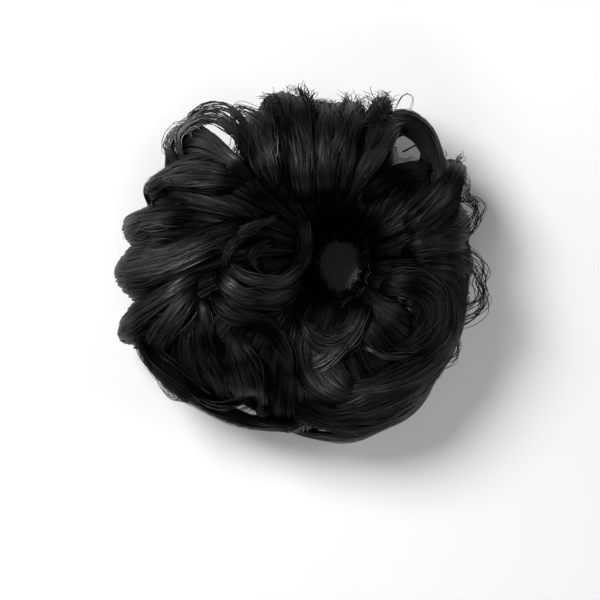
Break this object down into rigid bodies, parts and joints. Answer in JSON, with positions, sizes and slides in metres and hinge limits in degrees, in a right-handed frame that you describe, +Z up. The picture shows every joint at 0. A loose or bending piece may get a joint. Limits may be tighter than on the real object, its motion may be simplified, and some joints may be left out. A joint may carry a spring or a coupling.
{
  "type": "top knot hairpiece",
  "caption": "Ring-shaped messy bun of wavy black synthetic hair on a hidden elastic loop, with an open middle that a ponytail or top knot is pulled through.",
  "frame": {"origin": "centre of the bounding box, on the surface the hairpiece lies on", "axes": "+Z up out of the front of the bun, +X across its longer side, with the open middle parallel to Z"},
  "size_m": [0.1896, 0.1768, 0.0743],
  "materials": {
    "hair": "satin black synthetic hair",
    "inner_hair": "dull black synthetic hair",
    "elastic": "matte black covered elastic"
  },
  "bodies": {
    "root": {"curl_bottom": "hair", "curl_left": "hair", "curl_left_outer": "hair", "curl_lower_right": "hair", "elastic_band": "elastic", "hair_pad": "inner_hair", "lock_bottom_left": "hair", "lock_bottom_middle": "hair", "lock_bottom_right": "hair", "lock_crown_left": "hair", "lock_crown_middle": "hair", "lock_crown_right": "hair", "lock_fan_inner": "hair", "lock_fan_outer": "hair", "lock_fan_side": "hair", "lock_lower_left": "hair", "lock_lower_right": "hair", "lock_lower_sweep": "hair", "lock_right": "hair", "lock_right_lower": "hair", "lock_right_shoulder": "hair", "lock_right_upper": "hair", "lock_side_first": "hair", "lock_side_fourth": "hair", "lock_side_second": "hair", "lock_side_third": "hair", "lock_top_right": "hair", "loop_bottom_left": "hair", "loop_right_lower": "hair", "loop_right_upper": "hair", "loop_top_left": "hair", "loop_top_right": "hair", "sweep_crown": "hair", "sweep_crown_left": "hair", "sweep_left": "hair", "sweep_lower_left": "hair", "sweep_petal": "hair", "sweep_right": "hair", "sweep_side": "hair"}
  },
  "joints": []
}
